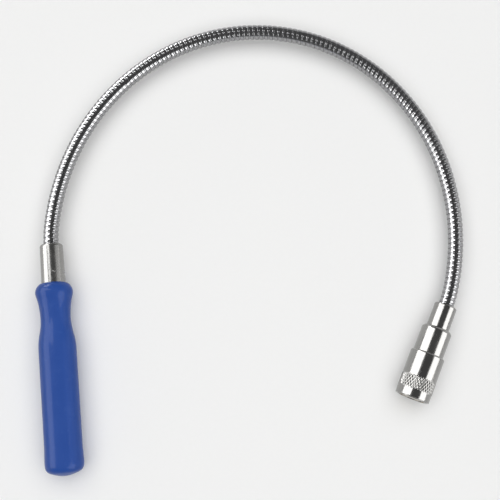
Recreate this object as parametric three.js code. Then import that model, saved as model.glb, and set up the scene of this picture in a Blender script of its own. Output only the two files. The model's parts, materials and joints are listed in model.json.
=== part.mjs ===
// A flexible magnetic pickup tool, lying on a table with its arm bent into a horseshoe.
//
// A chromed steel tube in a blue slip-on grip holds one end of a gooseneck, an arm of wound wire
// that stays where it is bent. The other end carries a stepped steel head: a collar on the
// gooseneck, a body with a magnet in its end, and a knurled sleeve that slides back along the body
// to bare the magnet.
//
// Millimetres, +Z up. The table is z = 0, and the origin is under the middle of the tool.
// Every piece is turned about its own local Y axis, which runs from the grip towards the magnet.

import * as THREE from 'three';

// ---- Driving dimensions ----

// Room left between pieces that are pressed or staked together
const gap = 0.3;

// Gooseneck: its bare length, the turn that it makes in all, and how much tighter its middle is
// bent than its average (its ends are as much slacker). It leaves the tube and enters the collar
// at a slight kink. tubeHeading is the way the tube's mouth points, from +X towards +Y.
const neckLength = 388;
const neckRadius = 4;
const neckBore = 2.6;
const neckTurn = THREE.MathUtils.degToRad(197.5);
const neckSwell = 0.12;
const rootKink = THREE.MathUtils.degToRad(5.4);
const headKink = THREE.MathUtils.degToRad(4.3);
const tubeHeading = THREE.MathUtils.degToRad(95.3);

// The arm bends at evenly spaced joints. The stretches between them have coned ends, so that two
// stretches can tilt by twice the cone's slope before they meet.
const jointCount = 39;
const jointPitch = neckLength / jointCount;
const jointSlope = THREE.MathUtils.degToRad(7.2);

// How far the gooseneck's ends reach into the tube and into the collar
const neckInTube = 30;
const neckInCollar = 10;

// Handle tube: the bare stretch tapers a little towards its rounded mouth
const tubeBare = 20;
const tubeInGrip = 93;
const tubeMouthRadius = 6.0;
const tubeRadius = 6.25;
const tubeMouthRound = 1.3;

// Grip, from its mouth on the tube to its domed butt
const gripLength = 99.5;
const gripBeadRadius = 9.75;
const gripBeadAt = 5.4;
const gripWaistRadius = 7.75;
const gripWaistAt = 19;
const gripBarrelRadius = 9.7;
const gripBarrelAt = 35;
const gripFlareRadius = 9.95;
const gripFlareAt = 93;
const gripFlareStart = 84;

// Head, measured along its axis from the collar's open end
const collarRadius = 5.9;
const collarLength = 12.5;
const spigotRadius = 5;
const spigotLength = 6;
const bodyRadius = 7.9;
const bodyShoulder = 1.1;
const sleeveStart = 27;
const sleeveRadius = 9;
const sleeveChamfer = 0.7;
const headLength = 51.5;

// The sleeve slides back by its travel on a spring ring that sits in a groove round the body
const sleeveTravel = 10;
const sleeveClearance = 0.2;
const ringWidth = 1;
const ringDepth = 0.55;
const ringGap = THREE.MathUtils.degToRad(40);

// Magnet, in a brass spacer in the body's pocket, on a steel backing disc
const magnetRadius = 5.3;
const magnetLength = 10;
const spacerWall = 0.9;
const discThickness = 1.5;

// Sides of a round piece, and steps along each curved stretch of an outline
const neckSides = 12;
const roundSides = 32;
const curveSteps = 5;

// ---- Materials ----

function vinyl() {
  return new THREE.MeshStandardMaterial({ color: 0x32549e, roughness: 0.3, metalness: 0 });
}

function chrome() {
  return new THREE.MeshStandardMaterial({ color: 0xc9cacc, roughness: 0.12, metalness: 1 });
}

function brass() {
  return new THREE.MeshStandardMaterial({ color: 0xb08d4a, roughness: 0.3, metalness: 1 });
}

function springSteel() {
  return new THREE.MeshStandardMaterial({ color: 0x6f7073, roughness: 0.35, metalness: 1 });
}

function nickel() {
  return new THREE.MeshStandardMaterial({ color: 0xb9b7b0, roughness: 0.25, metalness: 1 });
}

// ---- Helpers ----

// A piece turned about the Y axis from an outline of (radius, height), which is drawn down its
// outer side. A lathe's faces point outwards when that side runs up, so the points are reversed.
function turned(name, material, outline, sides = roundSides) {
  const geometry = new THREE.LatheGeometry(outline.getPoints(curveSteps).reverse(), sides);
  const mesh = new THREE.Mesh(geometry, material);
  mesh.name = name;
  return mesh;
}

// An outline that runs straight through its points, each [radius, height], and closes on itself
function polygon(points) {
  const outline = new THREE.Path();
  outline.setFromPoints([...points, points[0]].map(([radius, height]) => new THREE.Vector2(radius, height)));
  return outline;
}

// How far a coned end has drawn back at a radius
function coneBack(radius) {
  return gap / 2 + radius * Math.tan(jointSlope);
}

// ---- Handle ----

// Local height 0 is the tube's mouth, and the handle runs down from it.

function handleTube() {
  const bore = neckRadius + gap;
  const bottom = -(tubeBare + tubeInGrip);
  const outline = new THREE.Path();
  outline.moveTo(bore, bottom);
  outline.lineTo(bore, 0);
  outline.lineTo(tubeMouthRadius - tubeMouthRound, 0);
  outline.quadraticCurveTo(tubeMouthRadius, 0, tubeMouthRadius, -tubeMouthRound);
  outline.lineTo(tubeRadius, -tubeBare);
  outline.lineTo(tubeRadius, bottom);
  outline.lineTo(bore, bottom);
  return turned('handle_tube', chrome(), outline);
}

function handleGrip() {
  const mouth = -tubeBare;
  const bore = tubeRadius + gap;
  const boreBottom = mouth - tubeInGrip - gap;
  const lipDrop = 0.6;
  const buttRadius = 6.6;
  const buttRise = 1.4;
  const bead = mouth - gripBeadAt;
  const waist = mouth - gripWaistAt;
  const barrel = mouth - gripBarrelAt;
  const flareStart = mouth - gripFlareStart;
  const flare = mouth - gripFlareAt;
  const butt = mouth - gripLength;
  const waistPull = (waist - barrel) * 0.42;
  const outline = new THREE.Path();
  outline.moveTo(0, boreBottom);
  outline.lineTo(bore, boreBottom);
  outline.lineTo(bore, mouth - lipDrop);
  outline.bezierCurveTo(bore + 1, mouth - lipDrop, gripBeadRadius, bead + 2.5, gripBeadRadius, bead);
  outline.bezierCurveTo(gripBeadRadius, bead - 2.4, gripWaistRadius + 0.2, bead - 4.1, gripWaistRadius, waist);
  outline.bezierCurveTo(
    gripWaistRadius, waist - waistPull, gripBarrelRadius, barrel + waistPull, gripBarrelRadius, barrel);
  outline.lineTo(gripBarrelRadius, flareStart);
  outline.quadraticCurveTo(gripBarrelRadius, (flareStart + flare) / 2, gripFlareRadius, flare);
  outline.bezierCurveTo(gripFlareRadius, flare - 3, 9, butt + buttRise + 0.7, buttRadius, butt + buttRise);
  outline.quadraticCurveTo(buttRadius / 2, butt, 0, butt);
  return turned('handle_grip', vinyl(), outline);
}

// ---- Gooseneck ----

// How far the arm is bent at joint 1, 2, 3 ... as it lies
function restBend(joint) {
  const along = (joint - 0.5) / jointCount;
  const kink = { 1: rootKink, [jointCount]: headKink }[joint] ?? 0;
  return (neckTurn / jointCount) * (1 - neckSwell * Math.cos(2 * Math.PI * along)) + kink;
}

// A stretch of the arm between two heights, coned where it meets a joint
function neckStretch(name, bottom, top, conedBottom, conedTop) {
  const back = (coned, radius) => (coned ? coneBack(radius) : 0);
  const outline = polygon([
    [neckBore, bottom + back(conedBottom, neckBore)],
    [neckBore, top - back(conedTop, neckBore)],
    [neckRadius, top - back(conedTop, neckRadius)],
    [neckRadius, bottom + back(conedBottom, neckRadius)],
  ]);
  return turned(name, chrome(), outline, neckSides);
}

// The arm as a chain of nested groups, each turned at its joint. Returns the groups in order: the
// first stands in the tube's mouth, and each of the others at its joint.
function gooseneck(start) {
  const chain = [start];
  start.add(neckStretch('gooseneck_root', -neckInTube, jointPitch / 2, false, true));
  for (let joint = 1; joint <= jointCount; joint += 1) {
    const link = new THREE.Group();
    link.position.y = joint === 1 ? jointPitch / 2 : jointPitch;
    link.rotation.z = -restBend(joint);
    chain.at(-1).add(link);
    chain.push(link);
    if (joint < jointCount) {
      const number = String(joint).padStart(2, '0');
      link.add(neckStretch(`gooseneck_${number}`, 0, jointPitch, true, true));
    }
  }
  chain.at(-1).add(neckStretch('gooseneck_end', 0, jointPitch / 2 + neckInCollar, true, false));
  return chain;
}

// ---- Head ----

// Local height 0 is the collar's open end, and headLength is the magnet's face.

const bodyStart = collarLength + gap;
const spigotEnd = collarLength + spigotLength;
const spacerOuter = magnetRadius + gap + spacerWall;
const pocketRadius = spacerOuter + gap;
const magnetStart = headLength - magnetLength;
const discStart = magnetStart - gap - discThickness;
const sleeveBore = bodyRadius + sleeveClearance;
const sleeveEnd = headLength - gap;
const ringOuter = bodyRadius + ringDepth;
const ringStart = sleeveStart + 1.6;

function headCollar() {
  const bore = neckRadius + gap;
  const boreEnd = neckInCollar + gap;
  const edge = 0.6;
  const outline = new THREE.Path();
  outline.moveTo(0, boreEnd);
  outline.lineTo(0, spigotEnd);
  outline.lineTo(spigotRadius, spigotEnd);
  outline.lineTo(spigotRadius, collarLength);
  outline.lineTo(collarRadius, collarLength);
  outline.lineTo(collarRadius, edge);
  outline.quadraticCurveTo(collarRadius, 0, collarRadius - edge, 0);
  outline.lineTo(bore, 0);
  outline.lineTo(bore, boreEnd);
  outline.lineTo(0, boreEnd);
  return turned('head_collar', chrome(), outline);
}

function headBody() {
  const spigotBore = spigotRadius + gap;
  const grooveRadius = bodyRadius - ringDepth - gap;
  const tipChamfer = 0.4;
  return turned('head_body', chrome(), polygon([
    [0, spigotEnd + gap],
    [0, discStart - gap],
    [pocketRadius, discStart - gap],
    [pocketRadius, headLength],
    [bodyRadius - tipChamfer, headLength],
    [bodyRadius, headLength - tipChamfer],
    [bodyRadius, ringStart + ringWidth + gap],
    [grooveRadius, ringStart + ringWidth + gap],
    [grooveRadius, ringStart - gap],
    [bodyRadius, ringStart - gap],
    [bodyRadius, bodyStart + bodyShoulder],
    [bodyRadius - bodyShoulder, bodyStart],
    [spigotBore, bodyStart],
    [spigotBore, spigotEnd + gap],
  ]));
}

// The groove inside the sleeve is as long as its travel, and its two ends stop on the ring
function knurledSleeve() {
  const grooveRadius = ringOuter + gap / 2;
  const grooveStart = ringStart - gap;
  const grooveEnd = ringStart + ringWidth + sleeveTravel + gap;
  const tipChamfer = 0.3;
  return turned('knurled_sleeve', chrome(), polygon([
    [sleeveBore, sleeveStart],
    [sleeveBore, grooveStart],
    [grooveRadius, grooveStart],
    [grooveRadius, grooveEnd],
    [sleeveBore, grooveEnd],
    [sleeveBore, sleeveEnd],
    [sleeveRadius - tipChamfer, sleeveEnd],
    [sleeveRadius, sleeveEnd - tipChamfer],
    [sleeveRadius, sleeveStart + sleeveChamfer],
    [sleeveRadius - sleeveChamfer, sleeveStart],
  ]));
}

// A split ring: an open arc of flat spring wire, laid across the head's axis
function retainingRing() {
  const inner = bodyRadius - ringDepth;
  const arc = new THREE.Shape();
  arc.absarc(0, 0, ringOuter, ringGap / 2, 2 * Math.PI - ringGap / 2, false);
  arc.absarc(0, 0, inner, 2 * Math.PI - ringGap / 2, ringGap / 2, true);
  const geometry = new THREE.ExtrudeGeometry(arc, {
    depth: ringWidth,
    bevelEnabled: false,
    curveSegments: roundSides / 2,
  });
  geometry.rotateX(-Math.PI / 2);
  const mesh = new THREE.Mesh(geometry, springSteel());
  mesh.name = 'retaining_ring';
  mesh.position.y = ringStart;
  return mesh;
}

function magnet() {
  const edge = 0.3;
  return turned('magnet', nickel(), polygon([
    [0, magnetStart],
    [0, headLength],
    [magnetRadius - edge, headLength],
    [magnetRadius, headLength - edge],
    [magnetRadius, magnetStart],
  ]));
}

function magnetSpacer() {
  const inner = magnetRadius + gap;
  return turned('magnet_spacer', brass(), polygon([
    [inner, magnetStart],
    [inner, headLength - gap],
    [spacerOuter, headLength - gap],
    [spacerOuter, magnetStart],
  ]));
}

function backingDisc() {
  return turned('backing_disc', springSteel(), polygon([
    [0, discStart],
    [0, discStart + discThickness],
    [spacerOuter, discStart + discThickness],
    [spacerOuter, discStart],
  ]));
}

// ---- Assembly ----

// Leans the tool until both the grip's flare and the thinner sleeve touch the table, lowers it on
// to the table and centres it over the origin.
function layOnTable(tool, base, head) {
  tool.updateMatrixWorld(true);
  const flare = base.localToWorld(new THREE.Vector3(0, -(tubeBare + gripFlareAt), 0));
  const rim = head.localToWorld(new THREE.Vector3(0, sleeveStart, 0));
  tool.rotation.y = Math.asin((gripFlareRadius - sleeveRadius) / (rim.x - flare.x));
  const box = new THREE.Box3().setFromObject(tool, true);
  const centre = box.getCenter(new THREE.Vector3());
  tool.position.set(-centre.x, -centre.y, -box.min.z);
}

function pickupTool() {
  const tool = new THREE.Group();
  const base = new THREE.Group();
  base.rotation.z = tubeHeading - Math.PI / 2;
  tool.add(base);
  base.add(handleTube(), handleGrip());

  const chain = gooseneck(base);
  const head = new THREE.Group();
  head.position.y = jointPitch / 2;
  chain.at(-1).add(head);
  head.add(headCollar(), headBody(), knurledSleeve(), retainingRing());
  head.add(magnet(), magnetSpacer(), backingDisc());

  layOnTable(tool, base, head);
  return tool;
}

const tool = pickupTool();

export default tool;
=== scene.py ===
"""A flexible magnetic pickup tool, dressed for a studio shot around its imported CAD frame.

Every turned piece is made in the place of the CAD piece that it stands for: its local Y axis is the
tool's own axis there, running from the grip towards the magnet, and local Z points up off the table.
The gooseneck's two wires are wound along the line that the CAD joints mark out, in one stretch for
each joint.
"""

import json
import math

import bpy
from mathutils import Matrix, Vector
from mathutils.geometry import interpolate_bezier

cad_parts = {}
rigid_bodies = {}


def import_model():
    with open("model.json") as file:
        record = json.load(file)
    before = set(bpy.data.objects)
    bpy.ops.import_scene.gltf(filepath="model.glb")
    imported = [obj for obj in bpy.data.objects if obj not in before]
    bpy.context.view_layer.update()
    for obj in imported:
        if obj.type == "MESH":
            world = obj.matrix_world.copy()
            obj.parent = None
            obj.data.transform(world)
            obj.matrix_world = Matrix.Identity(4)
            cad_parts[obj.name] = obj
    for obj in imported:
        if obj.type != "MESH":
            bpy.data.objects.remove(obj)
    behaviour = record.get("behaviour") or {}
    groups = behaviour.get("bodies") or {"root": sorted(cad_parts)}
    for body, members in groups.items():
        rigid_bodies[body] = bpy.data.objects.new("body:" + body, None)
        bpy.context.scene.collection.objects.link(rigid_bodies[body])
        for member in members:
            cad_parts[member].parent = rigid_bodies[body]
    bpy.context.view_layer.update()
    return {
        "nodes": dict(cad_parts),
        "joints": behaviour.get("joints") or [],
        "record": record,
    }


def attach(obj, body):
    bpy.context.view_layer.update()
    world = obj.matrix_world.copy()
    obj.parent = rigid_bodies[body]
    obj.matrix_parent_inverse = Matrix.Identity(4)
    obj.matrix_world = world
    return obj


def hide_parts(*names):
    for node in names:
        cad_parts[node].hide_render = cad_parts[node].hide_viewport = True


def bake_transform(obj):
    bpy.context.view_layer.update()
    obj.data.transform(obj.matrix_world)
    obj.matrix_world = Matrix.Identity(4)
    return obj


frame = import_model()

MM = 0.001

# ---- Where the CAD pieces are ----

arm_joints = [joint for joint in frame["joints"] if joint["type"] == "hinge"]
sleeve_slide = next(joint for joint in frame["joints"] if joint["type"] == "slide")
corners = [Vector(joint["pos_m"]) for joint in arm_joints]
arm_bodies = [arm_joints[0]["parent"]] + [joint["child"] for joint in arm_joints]
magnet_mount = frame["record"]["mounts"][0]

# The way that each stretch between two joints points, from the handle's to the head's. The first
# joint's axis runs back along the arm, halfway between the stretches that it joins.
headings = [(end - start).normalized() for start, end in zip(corners, corners[1:])]
first_tangent = -Vector(arm_joints[0]["axis"])
headings.insert(0, 2 * first_tangent.dot(headings[0]) * first_tangent - headings[0])
headings.append(Vector(magnet_mount["axis"]))

pitch = (corners[1] - corners[0]).length
arm_up = Vector(arm_joints[1]["axis"])
middles = [corners[0] - headings[0] * pitch / 2]
middles += [corner + heading * pitch / 2 for corner, heading in zip(corners, headings[1:])]


def place_at(point, heading):
    """The place of a piece whose own height 0 is at the point and whose Y axis is the heading."""
    across = heading.cross(arm_up)
    place = Matrix((across, heading, arm_up)).transposed().to_4x4()
    place.translation = point
    return place


handle_place = place_at(middles[0], headings[0])
head_place = place_at(middles[-1], headings[-1])


def span(node, place):
    """How far a CAD node reaches down, up and out, in its own place."""
    to_local = place.inverted()
    points = [to_local @ vertex.co for vertex in frame["nodes"][node].data.vertices]
    heights = [point.y for point in points]
    return min(heights), max(heights), max(math.hypot(point.x, point.z) for point in points)


# ---- Camera ----

CAMERA_DISTANCE = 500 * MM
CAMERA_TILT = math.radians(9)
CAMERA_TARGET = Vector((-0.3, -4.1, 9)) * MM
CAMERA_LENS = 68.2


def make_camera():
    camera = bpy.data.objects.new("camera", bpy.data.cameras.new("camera"))
    camera.data.lens = CAMERA_LENS
    back = Vector((0, -math.sin(CAMERA_TILT), math.cos(CAMERA_TILT)))
    camera.location = CAMERA_TARGET + back * CAMERA_DISTANCE
    camera.rotation_mode = "QUATERNION"
    camera.rotation_quaternion = (-back).to_track_quat("-Z", "Y")
    bpy.context.scene.collection.objects.link(camera)
    bpy.context.scene.camera = camera


make_camera()


# ---- Materials ----


class Finish:
    """A material and short calls for the nodes that the finishes share."""

    def __init__(self, name, **sockets):
        self.material = bpy.data.materials.new(name)
        self.material.use_nodes = True
        self.tree = self.material.node_tree
        self.shader = self.tree.nodes["Principled BSDF"]
        for socket, value in sockets.items():
            self.shader.inputs[socket.replace("_", " ")].default_value = value
        self.coordinates = self.tree.nodes.new("ShaderNodeTexCoord").outputs["Object"]

    def feed(self, socket, value):
        """Links a value from another node, or sets a plain one."""
        if isinstance(value, bpy.types.NodeSocket):
            self.tree.links.new(value, socket)
        else:
            socket.default_value = value

    def stretched(self, x, y, z):
        """The object's coordinates, scaled along each axis."""
        node = self.tree.nodes.new("ShaderNodeMapping")
        node.inputs["Scale"].default_value = (x, y, z)
        self.feed(node.inputs["Vector"], self.coordinates)
        return node.outputs["Vector"]

    def noise(self, grain, detail=3.0, vector=None, distortion=0.0):
        """Noise whose grains are so many metres across."""
        node = self.tree.nodes.new("ShaderNodeTexNoise")
        node.inputs["Scale"].default_value = 1 / grain
        node.inputs["Detail"].default_value = detail
        node.inputs["Distortion"].default_value = distortion
        self.feed(node.inputs["Vector"], vector or self.coordinates)
        return node.outputs["Fac"]

    def attribute(self, name):
        node = self.tree.nodes.new("ShaderNodeAttribute")
        node.attribute_name = name
        return node.outputs["Fac"]

    def between(self, value, start, end, low=0.0, high=1.0):
        """Maps start..end of a value to low..high, and holds it there outside them."""
        node = self.tree.nodes.new("ShaderNodeMapRange")
        self.feed(node.inputs["Value"], value)
        node.inputs["From Min"].default_value = start
        node.inputs["From Max"].default_value = end
        node.inputs["To Min"].default_value = low
        node.inputs["To Max"].default_value = high
        return node.outputs["Result"]

    def combine(self, operation, first, second):
        node = self.tree.nodes.new("ShaderNodeMath")
        node.operation = operation
        self.feed(node.inputs[0], first)
        self.feed(node.inputs[1], second)
        return node.outputs["Value"]

    def mix(self, share, first, second):
        """A colour between two."""
        node = self.tree.nodes.new("ShaderNodeMix")
        node.data_type = "RGBA"
        self.feed(node.inputs["Factor"], share)
        self.feed(node.inputs["A"], first)
        self.feed(node.inputs["B"], second)
        return node.outputs["Result"]

    def bump(self, height, depth, under=None):
        """A bump so many metres deep, on top of another."""
        node = self.tree.nodes.new("ShaderNodeBump")
        node.inputs["Distance"].default_value = depth
        self.feed(node.inputs["Height"], height)
        if under is not None:
            self.feed(node.inputs["Normal"], under)
        return node.outputs["Normal"]

    def finish(self, colour, roughness, normal):
        self.feed(self.shader.inputs["Base Color"], colour)
        self.feed(self.shader.inputs["Roughness"], roughness)
        self.feed(self.shader.inputs["Normal"], normal)
        return self.material


def make_vinyl():
    """Dipped vinyl: a soft ripple and a fine skin, cloudy colour, and rubbed patches."""
    vinyl = Finish("blue_vinyl", Specular_IOR_Level=0.08, Coat_Weight=0.16, Coat_Roughness=0.08)
    cloud = vinyl.noise(14 * MM, detail=2)
    rubbed = vinyl.between(vinyl.noise(5 * MM, detail=6, distortion=0.6), 0.56, 0.72)
    colour = vinyl.mix(cloud, (0.019, 0.065, 0.29, 1), (0.024, 0.076, 0.32, 1))
    colour = vinyl.mix(vinyl.combine("MULTIPLY", rubbed, 0.3), colour, (0.035, 0.095, 0.35, 1))
    roughness = vinyl.combine(
        "ADD", vinyl.between(cloud, 0.3, 0.7, 0.30, 0.40), vinyl.combine("MULTIPLY", rubbed, 0.12))
    ripple = vinyl.bump(vinyl.noise(9 * MM, detail=1), 0.05 * MM)
    skin = vinyl.bump(vinyl.noise(0.7 * MM, detail=4), 0.004 * MM, under=ripple)
    return vinyl.finish(colour, roughness, skin)


def make_chrome(name, smooth, dull):
    """Plated turned steel: lathe rings under the plating, faint haze and fine rubbing marks. Its
    roughness runs from smooth to dull."""
    chrome = Finish(name, Metallic=1.0)
    haze = chrome.noise(6 * MM, detail=4)
    rings = chrome.noise(0.35 * MM, detail=3, vector=chrome.stretched(0, 1, 0))
    rubbing = chrome.noise(0.6 * MM, detail=5, vector=chrome.stretched(1, 0.12, 1))
    marks = chrome.between(rubbing, 0.6, 0.75)
    colour = chrome.mix(haze, (0.27, 0.267, 0.26, 1), (0.32, 0.316, 0.307, 1))
    roughness = chrome.combine(
        "ADD", chrome.between(haze, 0.3, 0.7, smooth, dull), chrome.combine("MULTIPLY", marks, 0.1))
    turned_skin = chrome.bump(rings, 0.0006 * MM)
    return chrome.finish(colour, roughness, chrome.bump(rubbing, 0.0008 * MM, under=turned_skin))


def make_wire():
    """Plated wire: drawn smooth and rubbed glossy on its crown, and rough in the grooves, whose colour
    is painted near black as shade.
    """
    wire = Finish("wound_wire", Metallic=1.0)
    crown = wire.attribute("crown")
    haze = wire.noise(3 * MM, detail=4)
    bright = wire.mix(haze, (0.30, 0.30, 0.31, 1), (0.37, 0.37, 0.375, 1))
    # Painted shade: the colour falls almost to black in the grooves between the turns, where the crown
    # attribute is low.
    colour = wire.mix(wire.between(crown, 0.25, 0.8), (0.05, 0.05, 0.05, 1), bright)
    worn = wire.between(crown, 0.2, 0.9, 0.42, 0.09)
    roughness = wire.combine("ADD", worn, wire.between(haze, 0.4, 0.75, 0.0, 0.08))
    return wire.finish(colour, roughness, wire.bump(wire.noise(0.4 * MM, detail=4), 0.001 * MM))


def make_nickel():
    """The magnet's dull nickel plating, ground flat and scratched by what it has picked up."""
    nickel = Finish("magnet_plating", Metallic=1.0)
    haze = nickel.noise(2.5 * MM, detail=5)
    scratches = nickel.noise(0.5 * MM, detail=6, vector=nickel.stretched(1, 1, 0.1))
    colour = nickel.mix(haze, (0.40, 0.38, 0.34, 1), (0.55, 0.53, 0.48, 1))
    roughness = nickel.between(haze, 0.3, 0.7, 0.2, 0.38)
    return nickel.finish(colour, roughness, nickel.bump(scratches, 0.002 * MM))


def make_brass():
    """Turned brass, a little tarnished."""
    brass = Finish("brass", Metallic=1.0)
    tarnish = brass.noise(2 * MM, detail=5)
    rings = brass.noise(0.2 * MM, detail=2, vector=brass.stretched(0, 1, 0))
    colour = brass.mix(tarnish, (0.62, 0.42, 0.14, 1), (0.40, 0.27, 0.10, 1))
    roughness = brass.between(tarnish, 0.3, 0.7, 0.22, 0.42)
    return brass.finish(colour, roughness, brass.bump(rings, 0.001 * MM))


def make_spring_steel():
    """Dark oiled spring steel."""
    steel = Finish("spring_steel", Metallic=1.0)
    oil = steel.noise(2 * MM, detail=5)
    colour = steel.mix(oil, (0.15, 0.15, 0.16, 1), (0.26, 0.25, 0.24, 1))
    roughness = steel.between(oil, 0.3, 0.7, 0.28, 0.5)
    return steel.finish(colour, roughness, steel.bump(steel.noise(0.3 * MM), 0.002 * MM))


def make_floor_paper():
    """White background paper."""
    paper = Finish("floor_paper", Specular_IOR_Level=0.2)
    fibres = paper.noise(2 * MM, detail=4)
    colour = paper.mix(fibres, (0.86, 0.86, 0.855, 1), (0.88, 0.88, 0.875, 1))
    roughness = paper.between(fibres, 0.3, 0.7, 0.7, 0.85)
    return paper.finish(colour, roughness, paper.bump(fibres, 0.02 * MM))


vinyl = make_vinyl()
chrome = make_chrome("chrome", 0.14, 0.20)
satin_chrome = make_chrome("satin_chrome", 0.20, 0.28)
wire_chrome = make_wire()
nickel = make_nickel()
brass = make_brass()
spring_steel = make_spring_steel()


# ---- Shapes ----

CORNER_STEPS = 6
CURVE_STEPS = 24
ROUND_HANDLE = 0.45
GUARD = 1.1
CREASE = math.radians(30)

# Only points farther out than these shares of the largest radius are dented, or get more points
DENT_SHARE = 0.97
DENSE_SHARE = 0.9


def solid(name, points, faces, material, place=None):
    """A piece from its points and faces, shaded smooth but for its sharp edges."""
    mesh = bpy.data.meshes.new(name)
    mesh.from_pydata(points, [], faces)
    mesh.polygons.foreach_set("use_smooth", [True] * len(faces))
    mesh.set_sharp_from_angle(angle=CREASE)
    mesh.materials.append(material)
    piece = bpy.data.objects.new(name, mesh)
    if place is not None:
        piece.matrix_world = place
    bpy.context.scene.collection.objects.link(piece)
    return piece


def ring_faces(below, above):
    """The faces between two rings of point numbers. A ring of one point is on the axis."""
    sides = max(len(below), len(above))
    faces = []
    for i in range(sides):
        j = (i + 1) % sides
        near = [below[i % len(below)], below[j % len(below)]]
        far = [above[j % len(above)], above[i % len(above)]]
        faces.append(list(dict.fromkeys(near + far)))
    return faces


def turned(name, outline, place, material, sides=128, dent=None):
    """A piece turned about its Y axis from (radius, height) points, which run up its outer side. The
    outline starts and ends on the axis, or else it closes on itself. dent says how far the surface is
    pressed in at an angle and height; only points that are the farthest out can be dented."""
    outer = max(radius for radius, height in outline)
    points = []
    rings = []
    for radius, height in outline:
        count = sides if radius > 0 else 1
        rings.append(list(range(len(points), len(points) + count)))
        for i in range(count):
            angle = 2 * math.pi * i / sides
            out = radius
            if dent and radius > DENT_SHARE * outer:
                out -= dent(angle, height)
            points.append((out * math.sin(angle), height, out * math.cos(angle)))
    if outline[0][0] > 0:
        rings.append(rings[0])
    faces = [face for below, above in zip(rings, rings[1:]) for face in ring_faces(below, above)]
    return solid(name, points, faces, material, place)


def rounded(outline):
    """An outline whose (radius, height, cut) corners are rounded off from cut before to cut after. A
    guard point just outside each end of a rounding keeps the shading of the long sides straight."""
    points = []
    for i, (radius, height, cut) in enumerate(outline):
        here = Vector((radius, height))
        if cut == 0:
            points.append((radius, height))
            continue
        back = (Vector(outline[i - 1][:2]) - here).normalized() * cut
        on = (Vector(outline[(i + 1) % len(outline)][:2]) - here).normalized() * cut
        controls = (here + back, here + back * ROUND_HANDLE, here + on * ROUND_HANDLE, here + on)
        points.append(tuple(here + back * GUARD))
        points += [tuple(point) for point in interpolate_bezier(*controls, CORNER_STEPS)]
        points.append(tuple(here + on * GUARD))
    return points


def bezier(*controls, steps=CURVE_STEPS):
    """The points of a curve from four (radius, height) controls, without its first."""
    return [tuple(point) for point in interpolate_bezier(*map(Vector, controls), steps)[1:]]


def dense(outline, start, end, step):
    """The outline with more points wherever its outer side runs between two heights."""
    outer = max(radius for radius, height in outline)
    points = []
    for (radius, height), (next_radius, next_height) in zip(outline, outline[1:] + outline[:1]):
        points.append((radius, height))
        rise = next_height - height
        if radius < DENSE_SHARE * outer or abs(rise) < step:
            continue
        count = math.ceil(abs(rise) / step)
        for i in range(1, count):
            share = i / count
            if start <= height + rise * share <= end:
                points.append((radius + (next_radius - radius) * share, height + rise * share))
    return points


def dress(piece, body, slot, *nodes):
    """Puts a piece on its body in the place of its CAD nodes."""
    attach(piece, body)
    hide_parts(*nodes)


# ---- Handle ----

EDGE = 0.15 * MM


def make_tube():
    """The chromed tube. A punch mark above the grip stakes it on the gooseneck."""
    bottom, mouth, outer = span("handle_tube", handle_place)
    bore = 4.15 * MM
    mouth_radius = 6.0 * MM
    mouth_round = 1.3 * MM
    bare = 20 * MM
    mark_height = mouth - 15.2 * MM
    mark_angle = math.radians(15)
    mark_radius = 0.7 * MM
    mark_depth = 0.22 * MM
    # The mark's raised rim: its height as a share of the depth, its place and width in mark radii
    rim_height = 0.12
    rim_place = 1.05
    rim_width = 0.22
    bore_round = 0.3 * MM

    def mark(angle, height):
        """How deep the tube is pressed at an angle and height."""
        turn = (angle - mark_angle + math.pi) % (2 * math.pi) - math.pi
        away = math.hypot(turn * outer, height - mark_height) / mark_radius
        rim = rim_height * math.exp(-((away - rim_place) / rim_width) ** 2)
        return mark_depth * (max(0.0, 1 - away) - rim)

    outline = rounded([
        (bore, bottom, EDGE),
        (outer, bottom, EDGE),
        (outer, mouth - bare, 0),
        (mouth_radius, mouth, mouth_round),
        (bore, mouth, bore_round),
    ])
    near_mark = 1.5 * MM
    mark_step = 0.12 * MM
    outline = dense(outline, mark_height - near_mark, mark_height + near_mark, mark_step)
    tube = turned("handle_tube_skin", outline, handle_place, satin_chrome, sides=288, dent=mark)
    dress(tube, "handle", "chrome", "handle_tube")


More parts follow.
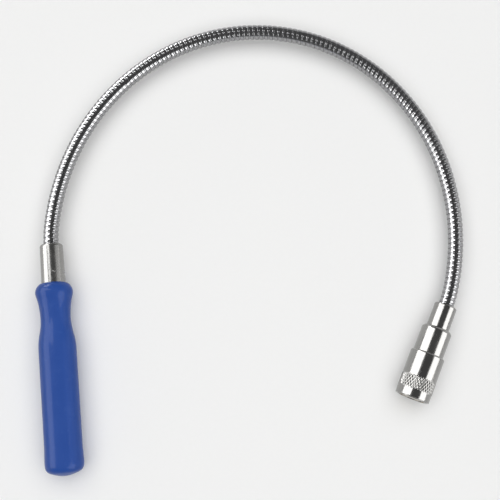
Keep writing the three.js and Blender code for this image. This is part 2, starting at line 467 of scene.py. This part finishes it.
def make_grip():
    """The slip-on grip: a rolled bead at its mouth, a waist, a long barrel and a flared, domed butt."""
    butt, lip, flare_radius = span("handle_grip", handle_place)
    tube_bottom, _, tube_radius = span("handle_tube", handle_place)
    bead_radius = 9.75 * MM
    waist_radius = 7.75 * MM
    barrel_radius = 9.7 * MM
    bead = lip - 4.8 * MM
    waist = lip - 18.4 * MM
    barrel = lip - 34.4 * MM
    flare_start = lip - 83.4 * MM
    flare = lip - 92.4 * MM
    rim = (6.6 * MM, butt + 1.4 * MM)
    bore = tube_radius + 0.05 * MM
    bore_bottom = tube_bottom - 0.3 * MM
    # How far each curve's controls pull it along the grip from its ends
    flare_below = 3 * MM
    flare_above = 4 * MM
    barrel_below = 2 * MM
    waist_pull = (waist - barrel) * 0.42
    neck_below = 4.1 * MM
    bead_below = 2.4 * MM
    bead_above = 2.5 * MM
    # Controls beside the ends of the domed butt, the neck and the lip
    butt_flat = (rim[0] * 0.45, butt)
    butt_shoulder = (rim[0] * 0.85, rim[1] - 0.35 * MM)
    rim_shoulder = (9 * MM, rim[1] + 0.7 * MM)
    neck_radius = waist_radius + 0.2 * MM
    lip_radius = bore + 1.2 * MM
    outline = [(0, butt)]
    outline += bezier((0, butt), butt_flat, butt_shoulder, rim)
    outline += bezier(rim, rim_shoulder, (flare_radius, flare - flare_below), (flare_radius, flare))
    outline += bezier(
        (flare_radius, flare),
        (flare_radius, flare + flare_above),
        (barrel_radius, flare_start - barrel_below),
        (barrel_radius, flare_start))
    outline.append((barrel_radius, (flare_start + barrel) / 2))
    outline.append((barrel_radius, barrel))
    outline += bezier(
        (barrel_radius, barrel),
        (barrel_radius, barrel + waist_pull),
        (waist_radius, waist - waist_pull),
        (waist_radius, waist))
    outline += bezier(
        (waist_radius, waist),
        (neck_radius, bead - neck_below),
        (bead_radius, bead - bead_below),
        (bead_radius, bead))
    outline += bezier(
        (bead_radius, bead),
        (bead_radius, bead + bead_above),
        (lip_radius, lip),
        (bore, lip))
    outline += [(bore, bore_bottom), (0, bore_bottom)]
    grip = turned("handle_grip_skin", outline, handle_place, vinyl, sides=192)
    dress(grip, "handle", "blue_vinyl", "handle_grip")


# ---- Gooseneck ----

NECK_RADIUS = 4.0 * MM
# Each wire goes round this often between the tube's mouth and the collar
COIL_COUNT = 143.7
COIL_PITCH = pitch * len(corners) / COIL_COUNT
STEPS_PER_TURN = 36

# The wedge wire, as an axial section of (along the arm, out from its middle): a crowned back, whose
# edges are lower by the crown's drop, and flanks that meet near the bore
WEDGE_HALF = 0.84 * MM
WEDGE_DROP = 0.08 * MM
WEDGE_CORNER = 0.10 * MM
WEDGE_INSET = 0.02 * MM
WEDGE_CROWN_STEPS = 8
WEDGE_ROOT = (0.10 * MM, 2.7 * MM)

# The round wire lies between two turns of the wedge wire
ROUND_WIRE_RADIUS = 0.84 * MM
ROUND_WIRE_AT = 2.96 * MM
ROUND_WIRE_STEPS = 14

# Where the crown attribute of the wire's finish is 0, in the grooves, which are rough and painted dark
# as shade, and 1, on the crown
GROOVE_RADIUS = 3.3 * MM
BRIGHT_RADIUS = 3.85 * MM


def wedge_section():
    """The wedge wire's outline, from one flank over its back to the other and round its root."""
    section = []
    for i in range(WEDGE_CROWN_STEPS + 1):
        across = -math.cos(math.pi * i / WEDGE_CROWN_STEPS)
        section.append((across * WEDGE_HALF, NECK_RADIUS - WEDGE_DROP * across ** 2))
    corner = NECK_RADIUS - WEDGE_DROP - WEDGE_CORNER
    root_half, root = WEDGE_ROOT
    section.append((WEDGE_HALF - WEDGE_INSET, corner))
    section += [(root_half, root), (-root_half, root)]
    section.append((-WEDGE_HALF + WEDGE_INSET, corner))
    return section


def round_section():
    """The round wire's outline, halfway between two turns of the wedge wire."""
    section = []
    for i in range(ROUND_WIRE_STEPS):
        angle = math.pi - 2 * math.pi * i / ROUND_WIRE_STEPS
        section.append((
            COIL_PITCH / 2 + ROUND_WIRE_RADIUS * math.cos(angle),
            ROUND_WIRE_AT + ROUND_WIRE_RADIUS * math.sin(angle)))
    return section


def arm_line(along):
    """Where the arm's middle line is at a distance from the tube's mouth, and the way it points. It
    is straight inside the tube and the collar, and one arc past each joint."""
    stretch = math.floor(along / pitch)
    if stretch < 0:
        return middles[0] + headings[0] * along, headings[0]
    if stretch >= len(corners):
        return middles[-1] + headings[-1] * (along - pitch * len(corners)), headings[-1]
    start, end = headings[stretch], headings[stretch + 1]
    bend = start.angle(end)
    inward = (end - start * start.dot(end)).normalized()
    turn = bend * (along / pitch - stretch)
    reach = pitch / 2 / math.tan(bend / 2)
    point = middles[stretch] + reach * (math.sin(turn) * start + (1 - math.cos(turn)) * inward)
    return point, math.cos(turn) * start + math.sin(turn) * inward


def wind(section, first_turn, last_turn, points, faces, crowns):
    """Adds a wire of a section to a mesh, wound right-handed from one number of turns to another."""
    steps = max(2, round((last_turn - first_turn) * STEPS_PER_TURN))
    rings = []
    for step in range(steps + 1):
        turns = first_turn + (last_turn - first_turn) * step / steps
        angle = 2 * math.pi * turns
        rings.append(range(len(points), len(points) + len(section)))
        for along, out in section:
            point, heading = arm_line(turns * COIL_PITCH + along)
            across = heading.cross(arm_up)
            points.append(point + out * (math.cos(angle) * across - math.sin(angle) * arm_up))
            crowns.append((out - GROOVE_RADIUS) / (BRIGHT_RADIUS - GROOVE_RADIUS))
    for below, above in zip(rings, rings[1:]):
        faces += [face[::-1] for face in ring_faces(below, above)]
    faces.append(list(rings[0]))
    faces.append(list(reversed(rings[-1])))


def make_stretch(name, start, end):
    """Both wires of the arm between two distances from the tube's mouth."""
    points, faces, crowns = [], [], []
    for section in (wedge_section(), round_section()):
        wind(section, start / COIL_PITCH, end / COIL_PITCH, points, faces, crowns)
    stretch = solid(name, points, faces, wire_chrome)
    crown = stretch.data.attributes.new("crown", "FLOAT", "POINT")
    crown.data.foreach_set("value", crowns)
    return stretch


def make_gooseneck():
    """The arm's ends, which are held in the tube and in the collar, and a stretch for each joint."""
    length = pitch * len(corners)
    _, buried, _ = span("gooseneck_end", head_place)
    sunk, _, _ = span("gooseneck_root", handle_place)
    root = make_stretch("gooseneck_root_wires", sunk, 0)
    dress(root, arm_bodies[0], "wound_wire", "gooseneck_root")
    for number, (body, next_body) in enumerate(zip(arm_bodies, arm_bodies[1:]), start=1):
        stretch = make_stretch(f"gooseneck_{number:02d}_wires", (number - 1) * pitch, number * pitch)
        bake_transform(stretch)
        if number < len(corners):
            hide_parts(f"gooseneck_{number:02d}")
    tip = make_stretch("gooseneck_end_wires", length, length + buried)
    dress(tip, arm_bodies[-1], "wound_wire", "gooseneck_end")


# ---- Head ----

# The knurled band: diamonds whose ridges are wound at 30 degrees both ways
KNURL_COUNT = 35
KNURL_RADIUS = 9 * MM
KNURL_STEPS = 12
KNURL_ANGLE = math.radians(30)
KNURL_START = 13.1 * MM
KNURL_LENGTH = 6.9 * MM
KNURL_DEPTH = 0.42 * MM
KNURL_RISE = 0.08 * MM
KNURL_LAND = 0.25


def make_collar():
    """The collar that is pressed on the gooseneck. Its spigot holds the body."""
    open_end, spigot_end, outer = span("head_collar", head_place)
    _, buried, _ = span("gooseneck_end", head_place)
    body_start, _, _ = span("head_body", head_place)
    bore = 4.1 * MM
    spigot = 5.0 * MM
    open_round = 0.6 * MM
    body_gap = 0.1 * MM
    outline = [(0, buried)]
    outline += rounded([
        (bore, buried, 0),
        (bore, open_end, EDGE),
        (outer, open_end, open_round),
        (outer, body_start - body_gap, EDGE),
        (spigot, body_start - body_gap, EDGE),
        (spigot, spigot_end, EDGE),
    ])
    outline.append((0, spigot_end))
    collar = turned("head_collar_skin", outline, head_place, chrome)
    dress(collar, "head", "chrome", "head_collar")


def make_body():
    """The body that the sleeve slides on, bored for the collar's spigot and for the magnet."""
    start, face, outer = span("head_body", head_place)
    _, spigot_end, _ = span("head_collar", head_place)
    disc_start, _, _ = span("backing_disc", head_place)
    ring_start, ring_end, _ = span("retaining_ring", head_place)
    spigot_bore = 5.05 * MM
    pocket = 6.8 * MM
    groove = outer - 0.85 * MM
    slack = 0.15 * MM
    shoulder = 1.1 * MM
    shoulder_round = 0.4 * MM
    face_round = 0.3 * MM
    outline = [(0, spigot_end + slack)]
    outline += rounded([
        (spigot_bore, spigot_end + slack, 0),
        (spigot_bore, start, EDGE),
        (outer - shoulder, start, EDGE),
        (outer, start + shoulder, shoulder_round),
        (outer, ring_start - slack, EDGE),
        (groove, ring_start - slack, 0),
        (groove, ring_end + slack, 0),
        (outer, ring_end + slack, EDGE),
        (outer, face, face_round),
        (pocket, face, EDGE),
        (pocket, disc_start - slack, 0),
    ])
    outline.append((0, disc_start - slack))
    body = turned("head_body_skin", outline, head_place, chrome)
    dress(body, "head", "chrome", "head_body")


def knurl(start):
    """How deep the knurled band is pressed, from the height where it starts. Ridges cross both ways,
    and between them are diamond pits."""
    turn_rise = 2 * math.pi * KNURL_RADIUS / KNURL_COUNT / math.tan(KNURL_ANGLE)
    fade = 0.5 * MM

    def pit(phase):
        """0 on a ridge's flat top, and 1 halfway to the next ridge."""
        away = 1 - abs(2 * (phase % 1) - 1)
        return max(0.0, (away - KNURL_LAND) / (1 - KNURL_LAND))

    def depth(angle, height):
        along = height - start
        if not 0 < along < KNURL_LENGTH:
            return 0.0
        around = KNURL_COUNT * angle / (2 * math.pi)
        cut = min(pit(around + along / turn_rise), pit(around - along / turn_rise))
        edge = min(1.0, along / fade, (KNURL_LENGTH - along) / fade)
        return edge * (KNURL_DEPTH * cut - KNURL_RISE)

    return depth, turn_rise / KNURL_STEPS


def make_sleeve():
    """The sliding sleeve. Its inner groove runs over the spring ring."""
    start, end, outer = span("knurled_sleeve", head_place)
    ring_start, ring_end, ring_radius = span("retaining_ring", head_place)
    slide = sleeve_slide["range_m"][1]
    bore = 8.0 * MM
    groove = ring_radius + 0.1 * MM
    slack = 0.15 * MM
    chamfer = 0.7 * MM
    end_round = 0.35 * MM
    outline = rounded([
        (outer - chamfer, start, EDGE),
        (outer, start + chamfer, EDGE),
        (outer, end, end_round),
        (bore, end, EDGE),
        (bore, ring_end + slide + slack, 0),
        (groove, ring_end + slide + slack, 0),
        (groove, ring_start - slack, 0),
        (bore, ring_start - slack, 0),
        (bore, start, EDGE),
    ])
    depth, step = knurl(start + KNURL_START)
    knurl_end = start + KNURL_START + KNURL_LENGTH
    outline = dense(outline, start + KNURL_START - step, knurl_end + step, step)
    sleeve = turned(
        "knurled_sleeve_skin", outline, head_place, chrome, sides=KNURL_COUNT * KNURL_STEPS, dent=depth)
    dress(sleeve, "sleeve", "chrome", "knurled_sleeve")


def make_magnet():
    bottom, face, outer = span("magnet", head_place)
    face_round = 0.3 * MM
    outline = [(0, bottom)]
    outline += rounded([(outer, bottom, EDGE), (outer, face, face_round)])
    outline.append((0, face))
    magnet = turned("magnet_skin", outline, head_place, nickel)
    dress(magnet, "head", "magnet_plating", "magnet")


def make_spacer():
    """The brass ring between the magnet and the body's pocket."""
    bottom, top, _ = span("magnet_spacer", head_place)
    _, _, magnet_radius = span("magnet", head_place)
    inner = magnet_radius + 0.03 * MM
    outer = 6.77 * MM
    outline = rounded([
        (inner, bottom, EDGE),
        (outer, bottom, EDGE),
        (outer, top, EDGE),
        (inner, top, EDGE),
    ])
    spacer = turned("magnet_spacer_skin", outline, head_place, brass)
    dress(spacer, "head", "brass", "magnet_spacer")


def finish_hidden_pieces():
    """The spring ring and the backing disc keep their CAD shape."""
    for name in ("retaining_ring", "backing_disc"):
        node = frame["nodes"][name]
        node.data.materials.clear()
        node.data.materials.append(spring_steel)


# ---- Studio ----

FLOOR_HALF = 6.0
FLOOR_GAP = 0.05 * MM
LIGHT_DISTANCE = 1.2

# How bright the room is at heights from 0, level with the floor, to 1, straight overhead
ROOM_SHADES = ((0.0, 0.85), (0.16, 0.75), (0.22, 0.24), (0.75, 0.14), (1.0, 0.14))


def make_floor():
    half = FLOOR_HALF
    sheet = [(-half, -half, 0), (half, -half, 0), (half, half, 0), (-half, half, 0)]
    mesh = bpy.data.meshes.new("floor")
    mesh.from_pydata(sheet, [], [(0, 1, 2, 3)])
    mesh.materials.append(make_floor_paper())
    floor = bpy.data.objects.new("floor", mesh)
    floor.location.z = -FLOOR_GAP
    bpy.context.scene.collection.objects.link(floor)


def make_room():
    """A dim room, pale along the horizon and darkest overhead."""
    world = bpy.data.worlds.new("studio")
    bpy.context.scene.world = world
    world.use_nodes = True
    tree = world.node_tree
    direction = tree.nodes.new("ShaderNodeTexCoord").outputs["Generated"]
    split = tree.nodes.new("ShaderNodeSeparateXYZ")
    tree.links.new(direction, split.inputs["Vector"])
    ramp = tree.nodes.new("ShaderNodeValToRGB")
    tree.links.new(split.outputs["Z"], ramp.inputs["Fac"])
    elements = ramp.color_ramp.elements
    while len(elements) < len(ROOM_SHADES):
        elements.new(1.0)
    for element, (position, shade) in zip(elements, ROOM_SHADES):
        element.position = position
        element.color = (shade, shade, shade, 1)
    background = tree.nodes["Background"]
    tree.links.new(ramp.outputs["Color"], background.inputs["Color"])


def make_light(name, azimuth, elevation, size, brightness):
    """A soft light, seen from the object at an azimuth from +X towards +Y and at an elevation."""
    azimuth, elevation = math.radians(azimuth), math.radians(elevation)
    level = math.cos(elevation)
    way = Vector((level * math.cos(azimuth), level * math.sin(azimuth), math.sin(elevation)))
    light = bpy.data.objects.new(name, bpy.data.lights.new(name, "AREA"))
    light.data.shape = "RECTANGLE"
    light.data.size, light.data.size_y = size
    light.data.energy = brightness * math.pi * size[0] * size[1]
    light.location = way * LIGHT_DISTANCE
    light.rotation_mode = "QUATERNION"
    light.rotation_quaternion = (-way).to_track_quat("-Z", "Y")
    bpy.context.scene.collection.objects.link(light)
    return light


def make_studio():
    """White paper lit evenly from overhead, and panels round it that only the bright metal mirrors."""
    make_floor()
    make_room()
    overhead = make_light("overhead_light", 0, 90, (2.2, 2.2), 1.62)
    overhead.visible_glossy = False
    panels = [
        make_light("left_panel", 176, 28, (1.4, 0.8), 4.0),
        make_light("left_back_panel", 150, 56, (0.4, 0.55), 4.0),
        make_light("right_front_panel", -32, 30, (1.0, 0.9), 3.4),
        make_light("right_panel", 12, 25, (0.6, 1.0), 0.75),
        make_light("back_panel", 126, 14, (0.5, 0.34), 12),
    ]
    for panel in panels:
        panel.visible_diffuse = False
    bpy.context.scene.view_settings.view_transform = "Standard"


make_tube()
make_grip()
make_gooseneck()
make_collar()
make_body()
make_sleeve()
make_magnet()
make_spacer()
finish_hidden_pieces()
make_studio()
